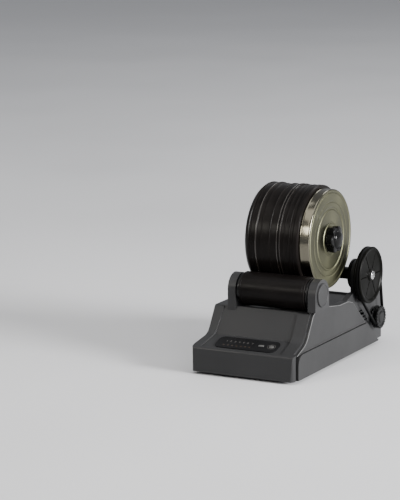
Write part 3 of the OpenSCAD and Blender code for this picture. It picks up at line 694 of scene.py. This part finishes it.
def digit_bars(digit, u, v, height):
    """Thin bars (u, v, width, height) that write one digit."""
    wide, bar = height * 0.55, height * 0.13
    spots = {"a": (0, height / 2, wide, bar), "d": (0, -height / 2, wide, bar), "g": (0, 0, wide, bar),
             "b": (wide / 2, height / 4, bar, height / 2), "c": (wide / 2, -height / 4, bar, height / 2),
             "f": (-wide / 2, height / 4, bar, height / 2), "e": (-wide / 2, -height / 4, bar, height / 2)}
    return [(u + spots[s][0], v + spots[s][1], spots[s][2] + bar / 2, spots[s][3] + bar / 2)
            for s in SEGMENTS[digit]]


def make_panel():
    """The overlay's printed digits and key ring, and a mark on each key."""
    face = max(NODES["control_panel"].data.polygons, key=lambda p: p.area)
    out = face.normal.copy() if face.normal.z > 0 else -face.normal
    right = Vector((1, 0, 0))
    up = out.cross(right)
    low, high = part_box("control_panel")
    middle = (low + high) / 2 / MM
    thick = 0.8

    def place(u, v, w):
        return middle + right * u + up * v + out * w

    def spot(name):
        """A node's middle as (u, v) on the panel."""
        a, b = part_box(name)
        offset = (a + b) / 2 / MM - middle
        return offset.dot(right), offset.dot(up)

    def printed(outline, under):
        return prism(outline, under, under + INK_T, place)

    count, lens_r = 7, 1
    lights_low, lights_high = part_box("indicator_lights")
    span = lights_high.x - lights_low.x - 2 * lens_r * MM
    lights_u = [lights_low.x / MM + lens_r - middle.x + i * span / MM / (count - 1) for i in range(count)]
    light_v = spot("indicator_lights")[1]
    power_u, timer_u = spot("power_button")[0], spot("timer_button")[0]
    top = thick / 2
    ink = []
    digit_lift, digit_h = 7.2, 2.3
    for i, u in enumerate(lights_u):
        for bar in digit_bars(str(i + 1), u, light_v + digit_lift, digit_h):
            ink.append(printed(bar_outline(*bar), top))
    ring, around, ring_in, ring_out = [], 64, 4.1, 4.4
    for i in range(around):
        angle = math.tau * i / around
        for r, w in ((ring_in, top), (ring_out, top), (ring_out, top + INK_T), (ring_in, top + INK_T)):
            ring.append(place(power_u + r * math.cos(angle), r * math.sin(angle), w))
    ink.append((ring, grid_faces(around, 4, True, True)))
    piece("panel_marks", *solids(ink), INK, "base", "panel_gloss")

    # Heights above the slope: the underside of the keys' marks, and the panel's middle.
    mark_h, middle_h = 1.15, 0.45
    under = mark_h - middle_h
    symbol, steps, arc_in, arc_out = [], 40, 1.05, 1.4
    for i in range(steps):
        a0, a1 = (math.radians(120 + 300 * k / steps) for k in (i, i + 1))
        quad = [(power_u + r * math.cos(t), r * math.sin(t)) for r, t in
                ((arc_in, a0), (arc_out, a0), (arc_out, a1), (arc_in, a1))]
        symbol.append(printed(quad, under))
    symbol.append(printed(bar_outline(power_u, 1.15, 0.34, 1.3), under))
    piece("power_icon", *solids(symbol), INK, "power_key", "key_plastic")
    piece("bar_icon", *solids([printed(bar_outline(timer_u, 0, 3.8, 0.6), under)]), INK, "timer_key",
          "key_plastic")
    dress("control_panel", OVERLAY, edge=0.25)


# ---- Floor, lights and camera ----

def make_floor():
    """A wide plain pale floor at Z = 0."""
    mesh = bpy.data.meshes.new("floor")
    reach = 15.0
    mesh.from_pydata([(-reach, -reach, 0), (reach, -reach, 0), (reach, reach, 0), (-reach, reach, 0)], [],
                     [[0, 1, 2, 3]])
    floor = added("floor", mesh)
    mesh.materials.append(surface("floor_pale", (0.60, 0.60, 0.61), 0.8, grain=120, grain_depth=0.05,
                                  mottle=0.015, patch=2, wear_and_highlight=0.0))


def area_light(name, azimuth, elevation, distance, width, height, power, colour=(1, 1, 1)):
    """A soft rectangular light in metres and watts that looks at the barrel from azimuth and elevation."""
    data = bpy.data.lights.new(name, "AREA")
    data.shape, data.size, data.size_y = "RECTANGLE", width, height
    data.energy, data.color = power, colour
    light = added(name, data)
    back = direction(azimuth, elevation)
    light.location = Vector((0, 0, 0.1)) + back * distance
    light.rotation_mode = "QUATERNION"
    light.rotation_quaternion = back.to_track_quat("Z", "Y")


def make_lights():
    """A large side key, three small lights for the lid and barrel highlights, and soft fill."""
    area_light("key", 86, 16, 3.0, 1.1, 0.9, 260)
    area_light("band", -28, 24, 1.6, 0.30, 0.42, 6.0, (1.0, 0.96, 0.87))
    area_light("rim", -46, 50, 1.5, 0.60, 0.9, 3.6, (1.0, 0.97, 0.92))
    area_light("spark", 57, 34, 1.6, 0.15, 0.28, 3.6, (1.0, 0.98, 0.94))
    area_light("top", 20, 84, 2.2, 1.6, 1.6, 20)
    area_light("back", 176, 44, 3.6, 2.4, 1.2, 34)
    world = bpy.data.worlds.new("studio")
    world.use_nodes = True
    sky = world.node_tree.nodes["Background"]
    sky.inputs["Color"].default_value = (0.93, 0.95, 1.0, 1)
    sky.inputs["Strength"].default_value = 0.40
    bpy.context.scene.world = world


def make_camera():
    """The camera of the photographed view: a long lens, low and from the right of the front."""
    data = bpy.data.cameras.new("camera")
    data.lens, data.sensor_width, data.sensor_fit = 151.7, 36.0, "AUTO"
    data.clip_start, data.clip_end = 0.05, 60
    camera = added("camera", data)
    target, distance = Vector((-4, 4, 90)) * MM, 2.2694
    back = direction(26.17, 11.52)
    camera.location = target + back * distance
    aim_left, aim_up, roll = math.radians(2.513), math.radians(0.6416), math.radians(-0.25)
    turn = Matrix.Rotation(aim_left, 3, "Y") @ Matrix.Rotation(aim_up, 3, "X") @ Matrix.Rotation(roll, 3, "Z")
    look = back.to_track_quat("Z", "Y").to_matrix() @ turn
    camera.rotation_mode = "QUATERNION"
    camera.rotation_quaternion = look.to_quaternion()
    bpy.context.scene.camera = camera


# ---- Building it all ----

make_camera()
make_barrel()
make_lid()
make_knob()
make_rollers()
make_caps()
make_pulley()
make_pulley_screw()
make_motor_pulley()
make_belt()
make_feet()
make_panel()
make_floor()
make_lights()
